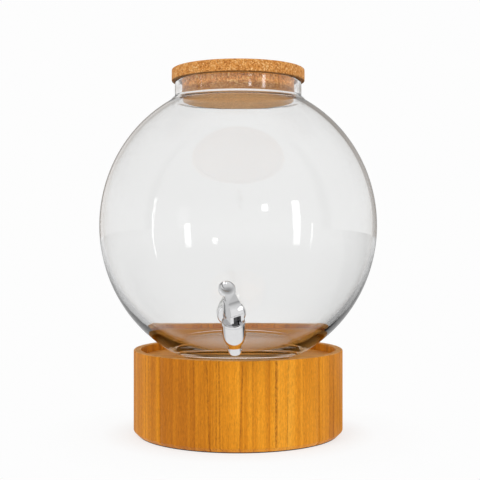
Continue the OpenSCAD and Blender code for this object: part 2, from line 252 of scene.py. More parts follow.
class Nodes:
    """Short calls for building one node tree."""

    def __init__(self, tree):
        self.tree = tree

    def add(self, kind, sockets=None, **settings):
        n = self.tree.nodes.new(kind)
        for key, value in settings.items():
            setattr(n, key, value)
        for key, value in (sockets or {}).items():
            socket = n.inputs[key]
            if isinstance(value, bpy.types.NodeSocket):
                self.tree.links.new(value, socket)
            else:
                socket.default_value = value
        return n

    def place(self):
        """Where a point is, in the object's own metres."""
        return self.add("ShaderNodeTexCoord").outputs["Object"]

    def height(self, vector):
        return self.add("ShaderNodeSeparateXYZ", {0: vector}).outputs["Z"]

    def facing_up(self):
        """How much the surface faces up, from -1 to 1."""
        return self.height(self.add("ShaderNodeNewGeometry").outputs["Normal"])

    def math(self, operation, a, b=0.0, clamp_it=False):
        n = self.add("ShaderNodeMath", {0: a, 1: b}, operation=operation, use_clamp=clamp_it)
        return n.outputs[0]

    def unit(self, value):
        """A value from -1 to 1 brought to 0 to 1, as a ramp takes it."""
        return self.math("ADD", self.math("MULTIPLY", value, 0.5), 0.5)

    def azimuth(self, x, y):
        """The angle of a direction round from the front, positive to the right."""
        return self.math("ARCTAN2", x, self.math("MULTIPLY", y, -1.0))

    def between(self, value, low, high, soft):
        """1 where value is between low and high, falling to 0 over soft inside each end."""
        rise = self.math("DIVIDE", self.math("SUBTRACT", value, low), soft, True)
        fall = self.math("DIVIDE", self.math("SUBTRACT", high, value), soft, True)
        return self.math("MULTIPLY", rise, fall)

    def ramp(self, factor, stops):
        n = self.add("ShaderNodeValToRGB", {0: factor})
        while len(n.color_ramp.elements) < len(stops):
            n.color_ramp.elements.new(0.5)
        for element, (place, colour) in zip(n.color_ramp.elements, stops):
            element.position = place
            element.color = colour if len(colour) == 4 else (*colour, 1.0)
        return n.outputs[0]

    def grey(self, factor, stops):
        return self.ramp(factor, [(place, flat_grey(v)) for place, v in stops])

    def mix(self, factor, a, b, blend="MIX"):
        n = self.add("ShaderNodeMix", data_type="RGBA", blend_type=blend)
        for index, value in ((0, factor), (6, a), (7, b)):
            if isinstance(value, bpy.types.NodeSocket):
                self.tree.links.new(value, n.inputs[index])
            else:
                n.inputs[index].default_value = value
        return n.outputs[2]

    def shade(self, colour, by):
        return self.mix(1.0, colour, by, "MULTIPLY")

    def blend(self, factor, a, b):
        """The node that goes from shader node a to shader node b."""
        return self.add("ShaderNodeMixShader", {0: factor, 1: a.outputs[0], 2: b.outputs[0]})

    def noise(self, vector, scale=1.0, detail=4.0, rough=0.55, distortion=0.0):
        n = self.add("ShaderNodeTexNoise", {"Vector": vector, "Scale": scale, "Detail": detail,
                                            "Roughness": rough, "Distortion": distortion})
        return n.outputs[0]

    def kind_of_ray(self, path):
        """Whether a ray shows a reflection, and whether it has been through glass.

        path is a Light Path node's outputs. A reflection that lights a dull surface doesn't count.
        """
        undimmed = self.math("LESS_THAN", path["Diffuse Depth"], 0.5)
        glossy = self.math("MULTIPLY", self.math("GREATER_THAN", path["Glossy Depth"], 0.5), undimmed)
        return glossy, self.math("GREATER_THAN", path["Transmission Depth"], 0.5)

    def stretch(self, vector, scale, place=(0, 0, 0), rotation=(0, 0, 0)):
        n = self.add("ShaderNodeMapping", {"Vector": vector, "Scale": scale, "Location": place,
                                           "Rotation": rotation})
        return n.outputs[0]

    def bump(self, height, strength, distance):
        n = self.add("ShaderNodeBump", {"Height": height, "Strength": strength, "Distance": distance})
        return n.outputs[0]


def empty_tree(owner):
    """The Nodes of a material or world, with its tree emptied."""
    owner.use_nodes = True
    owner.node_tree.nodes.clear()
    return Nodes(owner.node_tree)


def new_material(name, **sockets):
    """(material, its Nodes, its Principled shader), with constants set on the shader's own sockets."""
    mat = bpy.data.materials.new(name)
    kit = empty_tree(mat)
    shader = kit.add("ShaderNodeBsdfPrincipled")
    for key, value in sockets.items():
        shader.inputs[key.replace("_", " ")].default_value = value
    kit.add("ShaderNodeOutputMaterial", {"Surface": shader.outputs[0]})
    return mat, kit, shader


def feed(kit, shader, **sockets):
    """Links values that change over the surface to the shader's sockets."""
    for key, value in sockets.items():
        kit.tree.links.new(value, shader.inputs[key.replace("_", " ")])


# ---- materials: scales are in features per metre, heights in metres ----

# how many cork granules to a metre, and where the painted shade line on the plug's side starts and ends
GRANULES = 900.0
SHADE_LINE_LOW, SHADE_LINE_HIGH = 0.3712, 0.3722


def wood_figure(kit, flat, shift, tone):
    """The slow light and dark of the grain: broad bands, narrow bands and a sway along the stave."""
    sway = kit.noise(kit.stretch(flat, (12, 12, 7), shift), detail=1.0)
    wide = kit.noise(kit.stretch(flat, (30, 52, 1.0), shift), detail=1.0, distortion=0.3)
    band = kit.noise(kit.stretch(flat, (110, 230, 2.4), shift), detail=3.0, rough=0.6, distortion=0.3)
    figure = kit.math("ADD", kit.math("MULTIPLY", wide, 0.5), kit.math("MULTIPLY", band, 0.5))
    figure = kit.math("ADD", figure, kit.math("MULTIPLY", kit.math("SUBTRACT", sway, 0.5), 0.2))
    return kit.math("ADD", figure, tone)


def late_wood(kit, flat, shift, seed):
    """Thin dark lines of late wood, broken into pores, where a slow noise crosses its middle value."""
    slow = kit.stretch(flat, (30, 46, 0.9), (seed * 2.9, seed, 0.4))
    late = kit.noise(slow, detail=1.0, rough=0.4, distortion=0.4)
    line = kit.math("ABSOLUTE", kit.math("SUBTRACT", late, 0.5))
    line = kit.grey(line, [(0.0, 1.0), (0.008, 0.5), (0.024, 0.0)])
    dots = kit.noise(kit.stretch(flat, (900, 1200, 420), shift), detail=2.0)
    return kit.math("MULTIPLY", line, kit.grey(dots, [(0.4, 0.3), (0.62, 0.85)]))


def end_grain(kit, flat, shift):
    """The cut ends of the fibres, as the top of a stave shows them."""
    rings = kit.noise(kit.stretch(flat, (420, 160, 60), shift), detail=3.0)
    return kit.ramp(rings, [
        (0.3, srgb(184, 118, 48)), (0.5, srgb(209, 146, 72)), (0.7, srgb(223, 164, 92))])


def stave_wood(name, middle, seed, tone):
    """Oiled hardwood with its grain upright.

    middle is the stave's own angle from +X, seed shifts its grain and tone lightens or darkens it.
    """
    mat, kit, shader = new_material(name, Specular_IOR_Level=0.16)
    flat = kit.stretch(kit.place(), (1, 1, 1), rotation=(0, 0, -math.radians(middle)))
    shift = (seed * 1.37, seed * 0.71, seed * 2.13)
    fibre = kit.noise(kit.stretch(flat, (1100, 1500, 60), shift), detail=3.0, rough=0.7)
    fleck = kit.noise(kit.stretch(flat, (520, 760, 240), shift), detail=2.0, rough=0.6)
    pore = kit.noise(kit.stretch(flat, (1500, 2000, 150), shift), detail=1.0, rough=0.5)
    colour = kit.ramp(wood_figure(kit, flat, shift, tone), [
        (0.2, srgb(166, 94, 10)), (0.36, srgb(190, 112, 14)), (0.5, srgb(212, 132, 20)),
        (0.64, srgb(230, 149, 30)), (0.82, srgb(242, 168, 52))])
    colour = kit.mix(late_wood(kit, flat, shift, seed), colour, srgb(126, 62, 6))
    colour = kit.shade(colour, kit.grey(fibre, [(0.28, 0.82), (0.5, 0.98), (0.72, 1.08)]))
    colour = kit.shade(colour, kit.grey(fleck, [(0.3, 0.84), (0.5, 0.99), (0.7, 1.1)]))
    colour = kit.mix(kit.grey(pore, [(0.65, 0.0), (0.76, 0.5)]), colour, srgb(118, 60, 10))
    top = kit.grey(kit.facing_up(), [(0.55, 0.0), (0.9, 1.0)])
    colour = kit.mix(top, colour, end_grain(kit, flat, shift))
    rough = kit.grey(fibre, [(0.3, 0.58), (0.7, 0.44)])
    height = kit.math("SUBTRACT", fibre, kit.grey(pore, [(0.6, 0.0), (0.74, 0.7)]))
    feed(kit, shader, Base_Color=colour, Roughness=rough, Normal=kit.bump(height, 0.3, 0.0001))
    return mat


def panel_wood():
    """The floor panel's wood: paler and pinker, with its grain across."""
    mat, kit, shader = new_material("panel_wood", Specular_IOR_Level=0.16)
    place = kit.place()
    streak = kit.noise(kit.stretch(place, (5, 120, 120)), detail=5.0, rough=0.6, distortion=0.4)
    wide = kit.noise(kit.stretch(place, (3, 30, 30), (0.3, 0.2, 0)), detail=2.0, distortion=0.5)
    fibre = kit.noise(kit.stretch(place, (30, 1400, 1400)), detail=3.0, rough=0.65)
    figure = kit.math("ADD", kit.math("MULTIPLY", streak, 0.5), kit.math("MULTIPLY", wide, 0.5))
    colour = kit.ramp(figure, [
        (0.3, srgb(190, 118, 42)), (0.48, srgb(216, 146, 58)), (0.66, srgb(234, 172, 86))])
    colour = kit.shade(colour, kit.grey(fibre, [(0.25, 0.85), (0.7, 1.04)]))
    rough = kit.grey(fibre, [(0.3, 0.52), (0.7, 0.4)])
    feed(kit, shader, Base_Color=colour, Roughness=rough, Normal=kit.bump(fibre, 0.3, 0.0001))
    return mat


def granules(kit, place, scale, channel):
    """A random value for each granule of one size, from a channel of its random colour."""
    cells = kit.add("ShaderNodeTexVoronoi", {"Vector": place, "Scale": scale}, feature="F1")
    return kit.add("ShaderNodeSeparateColor", {0: cells.outputs["Color"]}).outputs[channel]


def cork(name, lift, lift_low, lift_under, painted_under_light):
    """Pressed cork: pale and dark granules with fine pits between them.

    lift is the painted light on the side above the plug's painted shade line, and lift_low the painted
    shade below it.
    lift_under scales the underside: painted shade below 1, painted light above it. The last argument is how
    far the underside is painted pale, as a painted highlight.
    """
    mat, kit, shader = new_material(name, Specular_IOR_Level=0.3)
    place = kit.place()
    wobble = kit.add("ShaderNodeTexNoise", {"Vector": place, "Scale": 400.0, "Detail": 2.0}).outputs[1]
    bent = kit.mix(0.0016, place, wobble, "ADD")
    pick = granules(kit, bent, GRANULES, 0)
    seams = kit.add("ShaderNodeTexVoronoi", {"Vector": bent, "Scale": GRANULES},
                    feature="DISTANCE_TO_EDGE").outputs[0]
    fine = granules(kit, bent, GRANULES * 2, 1)
    blotch = kit.noise(place, 60.0, 3.0)
    value = kit.math("ADD", kit.math("MULTIPLY", pick, 0.5), kit.math("MULTIPLY", fine, 0.32))
    value = kit.math("ADD", value, kit.math("MULTIPLY", kit.math("SUBTRACT", blotch, 0.5), 0.35))
    colour = kit.ramp(value, [
        (0.06, srgb(138, 78, 30)), (0.2, srgb(184, 112, 48)), (0.42, srgb(218, 146, 70)),
        (0.62, srgb(232, 168, 92)), (0.76, srgb(252, 214, 152))])
    speck = kit.noise(place, 1900.0, 2.0)
    colour = kit.mix(kit.grey(speck, [(0.62, 0.0), (0.72, 0.7)]), colour, srgb(112, 66, 34))
    # painted shade and light on the plug's side: darker below the line, where the glass neck's fillet
    # shades it, and lighter above, making up for light the glass takes
    wear_or_painted_side_light = kit.grey(kit.height(place), [(SHADE_LINE_LOW, lift_low), (SHADE_LINE_HIGH, lift)])
    # painted light and shade on the underside: lift_under scales it, and a pale colour is painted in as a
    # painted highlight
    down = kit.math("MULTIPLY", kit.facing_up(), -1.0, True)
    colour = kit.shade(colour, kit.mix(down, wear_or_painted_side_light, flat_grey(lift_under)))
    colour = kit.mix(kit.math("MULTIPLY", down, painted_under_light), colour, srgb(246, 218, 172))
    colour = kit.shade(colour, kit.grey(seams, [(0.0, 0.72), (0.1, 1.0)]))
    relief = kit.math("SUBTRACT", kit.grey(seams, [(0.0, 0.2), (0.15, 0.7)]),
                      kit.grey(speck, [(0.6, 0.0), (0.75, 0.5)]))
    rough = kit.grey(pick, [(0.0, 0.9), (1.0, 0.7)])
    feed(kit, shader, Base_Color=colour, Roughness=rough, Normal=kit.bump(relief, 0.5, 0.0003))
    return mat


def clear_glass():
    """Clear blown glass with a faint unevenness."""
    mat, kit, shader = new_material("clear_glass", Roughness=0.0, IOR=1.5, Transmission_Weight=1.0)
    place = kit.place()
    waves = kit.noise(kit.stretch(place, (1, 1, 0.6)), 22.0, 2.0)
    # a lighter tint at the foot and the neck than on the globe brightens the wood and the cork seen through
    # them: painted light
    tint_and_painted_light = kit.ramp(kit.height(place), [
        (0.102, (0.97, 0.97, 0.965)), (0.125, (0.938, 0.94, 0.938)), (0.24, (0.936, 0.938, 0.936)),
        (0.303, (0.955, 0.956, 0.954)), (0.338, (0.955, 0.956, 0.954)), (0.352, (0.985, 0.986, 0.985))])
    feed(kit, shader, Base_Color=tint_and_painted_light, Normal=kit.bump(waves, 0.12, 0.0006))
    return mat


def plated_chrome(name, grey):
    """Chrome plating with faint orange peel and handling marks."""
    mat, kit, shader = new_material(name, Metallic=1.0)
    place = kit.place()
    marks = kit.noise(place, 260.0, 4.0, 0.6)
    peel = kit.noise(place, 900.0, 2.0)
    wear_or_painted_side_light, clean = (grey * 0.96, grey * 0.96, grey * 0.97), (grey, grey, grey * 1.01)
    colour = kit.ramp(marks, [(0.3, wear_or_painted_side_light), (0.7, clean)])
    rough = kit.grey(marks, [(0.35, 0.045), (0.75, 0.1)])
    feed(kit, shader, Base_Color=colour, Roughness=rough, Normal=kit.bump(peel, 0.05, 0.00005))
    return mat


def brushed(name, grey):
    """Turned steel or nickel, finely lined."""
    mat, kit, shader = new_material(name, Metallic=1.0)
    place = kit.place()
    lines = kit.noise(kit.stretch(place, (300, 300, 2600)), 1.0, 3.0)
    colour = kit.ramp(lines, [(0.3, (grey * 0.85, grey * 0.85, grey * 0.86)), (0.7, (grey, grey, grey))])
    feed(kit, shader, Base_Color=colour, Roughness=kit.grey(lines, [(0.3, 0.24), (0.7, 0.36)]),
         Normal=kit.bump(lines, 0.15, 0.00004))
    return mat


def dull(name, colour, rough):
    """Rubber or moulded plastic with a fine texture and a little bloom."""
    mat, kit, shader = new_material(name)
    place = kit.place()
    bloom = kit.noise(place, 180.0, 4.0)
    pits = kit.noise(place, 2600.0, 2.0)
    dark = tuple(c * 0.75 for c in colour)
    light = tuple(min(1.0, c * 1.3) for c in colour)
    feed(kit, shader, Base_Color=kit.ramp(bloom, [(0.3, dark), (0.7, light)]),
         Roughness=kit.grey(bloom, [(0.3, rough * 0.9), (0.7, rough * 1.08)]),
         Normal=kit.bump(pits, 0.2, 0.00006))
    return mat


# ---- base ----

# how far a stave's long edges are eased, and the steps across its width
EASE, STAVE_STEPS = 0.32, 20


def stave_profile():
    """(radius, height) round one stave, with its rim rounded and its floor groove."""
    low, out = FOOT_PROUD, BASE_R
    floor_low, floor_high = FLOOR_TOP - FLOOR_T - SNUG, FLOOR_TOP + SNUG
    return (
        [(GROOVE_R, low), (out - BEVEL - 0.6, low)]
        + arc(out - BEVEL - 0.6, low + 1.6, 1.6, -88, -48, 3)
        + arc(out - 1.6, low + BEVEL + 0.6, 1.6, -42, 0, 3)
        + arc(out - 1.5, BASE_H - 1.5, 1.5, 0, 90, 5)
        + arc(IN_R + 1.0, BASE_H - 1.0, 1.0, 90, 180, 4)
        + [(IN_R, floor_high), (GROOVE_R, floor_high), (GROOVE_R, floor_low), (IN_R, floor_low),
           (IN_R, FOOT_T + SNUG), (GROOVE_R, FOOT_T + SNUG)]
    )


def ease_edges(bm, start, wide):
    """Eases a stave's long edges: its end sections are drawn in, and the next ones crowd up to them."""
    bm.verts.ensure_lookup_table()
    row = STAVE_STEPS + 1
    shrink = 1 - 2 * EASE / STAVE_T
    mid_r, mid_z = (IN_R + BASE_R) / 2, BASE_H / 2
    crowd = math.degrees(EASE / BASE_R) * 1.2
    for first in range(0, len(bm.verts), row):
        for end in (0, STAVE_STEPS):
            v = bm.verts[first + end]
            r = math.hypot(v.co.x, v.co.y)
            r_new = mid_r + (r - mid_r) * shrink if r > mid_r else r
            v.co.x, v.co.y = v.co.x * r_new / r, v.co.y * r_new / r
            v.co.z = mid_z + (v.co.z - mid_z) * (1 - EASE / mid_z)
        for near, angle in ((1, start + crowd), (STAVE_STEPS - 1, start + wide - crowd)):
            v = bm.verts[first + near]
            r, a = math.hypot(v.co.x, v.co.y), math.radians(angle)
            v.co.x, v.co.y = r * math.cos(a), r * math.sin(a)


def make_stave(k):
    wide = 360.0 / STAVES - GLUE_DEG
    start = -90 + STAVE_TURN + k * 360.0 / STAVES + GLUE_DEG / 2
    bm = lathe(stave_profile(), steps=STAVE_STEPS, start=start, sweep=wide)
    ease_edges(bm, start, wide)
    name = f"stave_{k + 1:02d}"
    obj = new_object(f"{name}_turned", bm, sharp=50)
    wood = stave_wood(f"stave_wood_{k + 1:02d}", start + wide / 2, k * 3.7 + 1.9, STAVE_TONES[k])
    obj.data.materials.append(wood)
    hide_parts(name)
    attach(obj, "base")


def make_floor_panel():
    """The turned disc that the globe stands on."""
    r = GROOVE_R - 0.2
    low, high = FLOOR_TOP - FLOOR_T, FLOOR_TOP
    profile = [(0, low)] + arc(r - 0.8, low + 0.8, 0.8, -90, 0, 3)
    profile += arc(r - 0.6, high - 0.6, 0.6, 0, 90, 3)
    profile += [(r * f, high) for f in (0.96, 0.7, 0.35)] + [(0, high)]
    obj = new_object("floor_panel_turned", lathe(profile, 128), sharp=50)
    obj.data.materials.append(panel_wood())
    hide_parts("base_floor_panel")
    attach(obj, "base")


# ---- globe ----

# where the globe's ellipse meets its foot and its neck, as angles from its middle
T_FOOT = -math.asin((GLOBE_Z - FOOT_Z) / GLOBE_B)
T_NECK = math.acos(NECK_R / GLOBE_A)
# steps up the wall
GLOBE_STEPS = 110


def on_globe(t):
    return GLOBE_A * math.cos(t), GLOBE_Z + GLOBE_B * math.sin(t)


def out_dir(t):
    """The direction square to the globe's wall."""
    x, z = math.cos(t) / GLOBE_A, math.sin(t) / GLOBE_B
    n = math.hypot(x, z)
    return x / n, z / n


def wall(t):
    """The wall's thickness, which grows towards the foot."""
    start = math.radians(THICK_BELOW)
    return WALL_SIDE + (WALL_FOOT - WALL_SIDE) * clamp((start - t) / (start - T_FOOT)) ** 1.4


def inner_wall(ts, low, high):
    """The inside of the wall, between two heights."""
    points = []
    for t in ts:
        (x, z), (nx, nz) = on_globe(t), out_dir(t)
        p = (x - wall(t) * nx, z - wall(t) * nz)
        if low < p[1] < high:
            points.append(p)
    return points


def shoulder(z):
    """The outside fillet from the globe, which ends at height z, into the neck."""
    angles = [math.radians(q) for q in range(15, 91, 15)]
    return [(NECK_R + SHOULDER_R - SHOULDER_R * math.sin(a), z + SHOULDER_R * (1.25 - math.cos(a)) - 0.6)
            for a in angles]


def globe_profile():
    """(radius, height) round the glass: foot, outside, neck, rim, inside and the foot's upper face."""
    ts = [T_FOOT + (T_NECK - T_FOOT) * i / GLOBE_STEPS for i in range(GLOBE_STEPS + 1)]
    outer = [on_globe(t) for t in ts]
    foot_r, neck_low = outer[0][0], outer[-1][1]
    foot_flat = FOOT_Z + FOOT_THICK
    neck_in = NECK_R - NECK_WALL
    neck_turn = math.acos(neck_in / (GLOBE_A - WALL_SIDE))
    neck_in_z = GLOBE_Z + (GLOBE_B - WALL_SIDE) * math.sin(neck_turn)
    inner = inner_wall(ts, foot_flat + 1.6, neck_in_z - 0.5)
    inner_foot = arc(inner[0][0] - 3.2, foot_flat + 3.2, 3.2, -32, -90, 6)
    return (
        [(0, FOOT_Z + 0.4), (foot_r * 0.6, FOOT_Z + 0.3), (foot_r - 5, FOOT_Z)]
        + arc(foot_r - 1.9, FOOT_Z + 1.2, 1.2, -90, -45, 3)
        + outer[2:-2]
        + shoulder(neck_low)
        + [(NECK_R, neck_low + 8), (NECK_R, RIM_Z - 5)]
        + arc(NECK_R - RIM_R, RIM_Z - RIM_R, RIM_R, 0, 90, 6)
        + arc(neck_in + RIM_R, RIM_Z - RIM_R, RIM_R, 90, 180, 6)
        + [(neck_in, RIM_Z - 6), (neck_in, neck_in_z + 4), (neck_in + 0.15, neck_in_z + 1.5)]
        + list(reversed(inner))
        + inner_foot
        + [(inner_foot[-1][0] * 0.6, foot_flat), (0, foot_flat)]
    )


def make_globe():
    globe = new_object("globe_blown", lathe(globe_profile(), 224), sharp=70)
    hole = [(0, -40), (HOLE_R, -40), (HOLE_R, 40), (0, 40)]
    combine(globe, new_object("drill", lathe(hole, 48), where=AT_SHANK), "DIFFERENCE")
    sharpen(globe, 60)
    globe.data.materials.append(clear_glass())
    globe.visible_shadow = False
    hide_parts("glass_globe")
    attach(globe, "globe")


# ---- lid ----

def rough_up(bm, grain, depth):
    """Moves each point of a cork piece in a little, as cut cork is."""
    for v in bm.verts:
        n = noise.noise(v.co * grain) + 0.5 * noise.noise(v.co * grain * 2.7)
        r = math.hypot(v.co.x, v.co.y)
        if r > 1:
            v.co.x -= v.co.x / r * depth * (0.75 + n)
            v.co.y -= v.co.y / r * depth * (0.75 + n)


def disc_profile():
    low, high, r = LID_Z, LID_Z + LID_T, LID_R
    side = [low + 1.2 + (LID_T - 2.8) * i / 6 for i in range(7)]
    return (
        [(0, low), (r * 0.5, low), (r - 2, low)]
        + arc(r - 1, low + 1, 1.0, -90, -15, 3)
        + [(r, z) for z in side]
        + arc(r - 1.3, high - 1.3, 1.3, 12, 90, 4)
        + [(r * f, high) for f in (0.9, 0.6, 0.3, 0.0)]
    )


def plug_profile():
    low, r = LID_Z - PLUG_H, PLUG_R
    return (
        [(0, low), (r * 0.5, low), (r - 2, low)]
        + arc(r - 1, low + 1, 1.0, -90, 0, 3)
        + [(r, low + PLUG_H * f) for f in (0.3, 0.5, 0.7, 0.85, 1.0)]
        + [(0, low + PLUG_H)]
    )


def make_cork(name, profile, steps, material, node):
    """One turned piece of the lid."""
    bm = lathe(profile, steps)
    rough_up(bm, 0.6, 0.12)
    piece = new_object(name, bm, sharp=50)
    piece.data.materials.append(material)
    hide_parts(node)
    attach(piece, "lid")


def make_lid():
    # painted shade on the disc's underside; painted light on the plug's side and underside, with a painted
    # shade band low on its side
    disc_cork = cork("cork_disc", lift=1.0, lift_low=1.0, lift_under=0.5, painted_under_light=0.0)
    make_cork("lid_disc_cut", disc_profile(), 220, disc_cork, "cork_lid_disc")
    plug_cork = cork("cork_plug", lift=1.58, lift_low=0.8, lift_under=1.5, painted_under_light=0.45)
    make_cork("lid_plug_cut", plug_profile(), 200, plug_cork, "cork_lid_plug")


# ---- tap ----

# steps down the barrel's taper
BARREL_STEPS = 44


def barrel_r(z):
    """The barrel's radius, which falls from BARREL_R to OUTLET_R in one smooth sweep."""
    u = clamp((TAPER_TOP - z) / TAPER_L) ** 2.2
    return OUTLET_R + (BARREL_R - OUTLET_R) * (1 + math.cos(math.pi * u)) / 2


def barrel_profile():
    """(radius, height) of the barrel: lip, taper, a groove under the bonnet and the top edge."""
    low, top, groove_r = -BARREL_LOW, BARREL_TOP, BARREL_R - 0.35
    taper = [TAPER_TOP - TAPER_L * (1 - i / BARREL_STEPS) for i in range(BARREL_STEPS + 1)]
    return (
        [(0, low), (LIP_R - 1.2, low)]
        + arc(LIP_R - 0.95, low + 0.75, 0.75, -70, -5, 4)
        + [(LIP_R - 0.05, low + 1.9), (LIP_R, low + 2.7), (LIP_R - 0.06, low + 3.4),
           (LIP_R - 0.4, low + 4.6), (LIP_R - 0.62, low + 5.0)]
        + [(barrel_r(z), z) for z in taper]
        + [(BARREL_R, 6.3), (groove_r, 6.55), (groove_r, 6.75), (BARREL_R, 7.0)]
        + arc(BARREL_R - 0.7, top - 0.7, 0.7, 0, 90, 4)
        + [(0, top)]
    )


def thread(z):
    """One turn of the shank's thread, as a ring that starts at height z."""
    core = SHANK_R - THREAD_DEPTH
    return [(SHANK_R, z + 0.1), (SHANK_R, z + 0.5), (core, z + 1.1), (core, z + 1.3), (SHANK_R, z + 1.9)]


def shank_profile():
    """(radius, distance out) of the threaded shank, the flange and the neck that carries the barrel."""
    back, bulge = FLANGE_BACK, FLANGE_R - 8.6
    points = [(0, -SHANK_IN), (SHANK_R - THREAD_DEPTH, -SHANK_IN)]
    for i in range(THREADS):
        points += thread(-SHANK_IN + 0.6 + i * PITCH)
    points += [(SHANK_R, back)] + arc(FLANGE_R - 0.4, back + 0.4, 0.4, -90, 0, 3)
    points += [(FLANGE_R, back + 0.9)] + arc(FLANGE_R - 0.5, back + 1.0, 0.5, 10, 80, 3)
    for q in range(4, 89, 7):
        a = math.radians(q)
        points.append((8.2 + bulge * math.cos(a), back + 1.5 + 3.7 * math.sin(a)))
    points += [(NECK_OUT_R + 0.1, back + 5.5), (NECK_OUT_R, back + 7)]
    return points + [(NECK_OUT_R, REACH - 4), (0, REACH - 4)]


def make_tap_body(chrome):
    """The plated body: the barrel joined to the shank, with its waterway and valve chamber cut out."""
    low, top = -BARREL_LOW, BARREL_TOP
    body = new_object("tap_body_plated", lathe(barrel_profile(), 112), where=AT_BARREL)
    combine(body, new_object("shank", lathe(shank_profile(), 96), where=AT_SHANK), "UNION")
    way = [(0, -SHANK_IN - 1), (WATER_R, -SHANK_IN - 1), (WATER_R, REACH), (0, REACH)]
    combine(body, new_object("way", lathe(way, 48), where=AT_SHANK), "DIFFERENCE")
    hollow = [(0, low - 1), (OUTLET_IN, low - 1), (OUTLET_IN, -SEAT_LOW), (CHAMBER_R, -SEAT_TOP),
              (CHAMBER_R, top - CAP_T), (CAP_R, top - CAP_T), (CAP_R, top + 1), (0, top + 1)]
    combine(body, new_object("hollow", lathe(hollow, 80), where=AT_BARREL), "DIFFERENCE")
    sharpen(body, 32)
    body.data.materials.clear()
    body.data.materials.append(chrome)
    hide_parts("spigot_body")
    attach(body, "globe")


def on_dome(q):
    return DOME_R * math.cos(math.radians(q)), DOME_UP + DOME_R * math.sin(math.radians(q))


def lever_side():
    """Side view of the lever about its pin, as (forwards, up) points. Its underside is the valve's cam."""
    cam_h = PIN_UP - BARREL_TOP - CAP_PROUD - CAM_GAP
    k = LIFT / math.radians(THROW)
    outline = [(HOOD_BACK + 1, -cam_h)]
    for q in range(0, int(THROW) + 1, 4):
        a, h = math.radians(q), cam_h + LIFT * q / THROW
        outline.append((h * math.sin(a) + k * math.cos(a), -h * math.cos(a) + k * math.sin(a)))
    # a groove under the dome, as deep as VISOR
    front = outline[-1][0]
    outline += [(front, DOME_UP - 1.3), (front - VISOR, DOME_UP - 1.1), (front - VISOR, DOME_UP - 0.2)]
    outline += [on_dome(q) for q in range(0, 73, 4)]
    for half in (ARM_T / 2, -ARM_T / 2):
        outline.append((BUTTON[0] + ARM_FACE[0] * half, BUTTON[1] + ARM_FACE[1] * half))
    outline += [on_dome(q) for q in range(112, 137, 4)]
    return outline + [(HOOD_BACK, -cam_h + 1.2)]


def lever_front():
    """Front view of the lever: the hood narrows into the arm."""
    half, up = HOOD_W / 2, DOME_UP
    right = [(half, -20), (half, 2), (half - 0.2, up), (half - 0.5, up + 3), (half - 0.8, up + 6),
             (half - 1.2, up + 8.5), (5.45, up + 10.5), (5.25, up + 12.5), (5.2, up + 14.5), (5.2, 60)]
    return right + [(-x, z) for x, z in reversed(right)]


def soften_sides(obj, width):
    """Rounds the lever's long edges, where its two sides meet its front, top and back."""
    bm = bmesh.new()
    bm.from_mesh(obj.data)
    bmesh.ops.remove_doubles(bm, verts=bm.verts, dist=0.00001)
    bmesh.ops.dissolve_limit(bm, angle_limit=math.radians(0.5), verts=bm.verts, edges=bm.edges)
    across = AT_PIN.to_3x3() @ Vector((1, 0, 0))
    up = AT_PIN.to_3x3() @ Vector((0, 0, 1))
    low = (AT_PIN @ Vector((0, 0, 0.8 * MM))).dot(up)

    def sideways(face):
        return abs(face.normal.dot(across)) > 0.85

    edges = [e for e in bm.edges if len(e.link_faces) == 2
             and sideways(e.link_faces[0]) != sideways(e.link_faces[1])
             and min(v.co.dot(up) for v in e.verts) > low]
    bmesh.ops.bevel(bm, geom=edges, offset=width * MM, segments=4, profile=0.5, affect="EDGES",
                    clamp_overlap=True)
    bm.to_mesh(obj.data)
    bm.free()


def button_profile():
    """(radius, height) of the thumb button, domed below and flat above."""
    r, t = BUTTON_R, BUTTON_T
    return [(0, -t - 0.45), (3, -t - 0.4), (r - 2.8, -t - 0.2), (r - 1.5, -t + 0.25), (r - 0.6, -t + 1.0),
            (r - 0.1, -t + 1.8), (r, 0.2), (r - 0.15, 0.8), (r - 0.5, t - 0.85), (r - 1.0, t - 0.3),
            (r - 1.6, t - 0.04), (r - 2, t), (0, t)]


def dish_tool():
    """The ball that cuts the button's thumb dish, DISH_R in radius and DISH_DEEP deep."""
    ball = (DISH_R ** 2 + DISH_DEEP ** 2) / (2 * DISH_DEEP)
    half_circle = arc(0, 0, ball, -90, 90, 60)
    half_circle[0], half_circle[-1] = (0, -ball), (0, ball)
    place = AT_BUTTON @ spot(0, DISH_UP, BUTTON_T + ball - DISH_DEEP)
    return new_object("dish", lathe(half_circle, 96, closed=False), where=place)


def soft_bevel(obj, width, degrees):
    """Eases every edge sharper than an angle."""
    bevel = obj.modifiers.new("soft_edges", "BEVEL")
    bevel.width = width * MM
    bevel.segments = 2
    bevel.limit_method = "ANGLE"
    bevel.angle_limit = math.radians(degrees)
    bevel.use_clamp_overlap = True


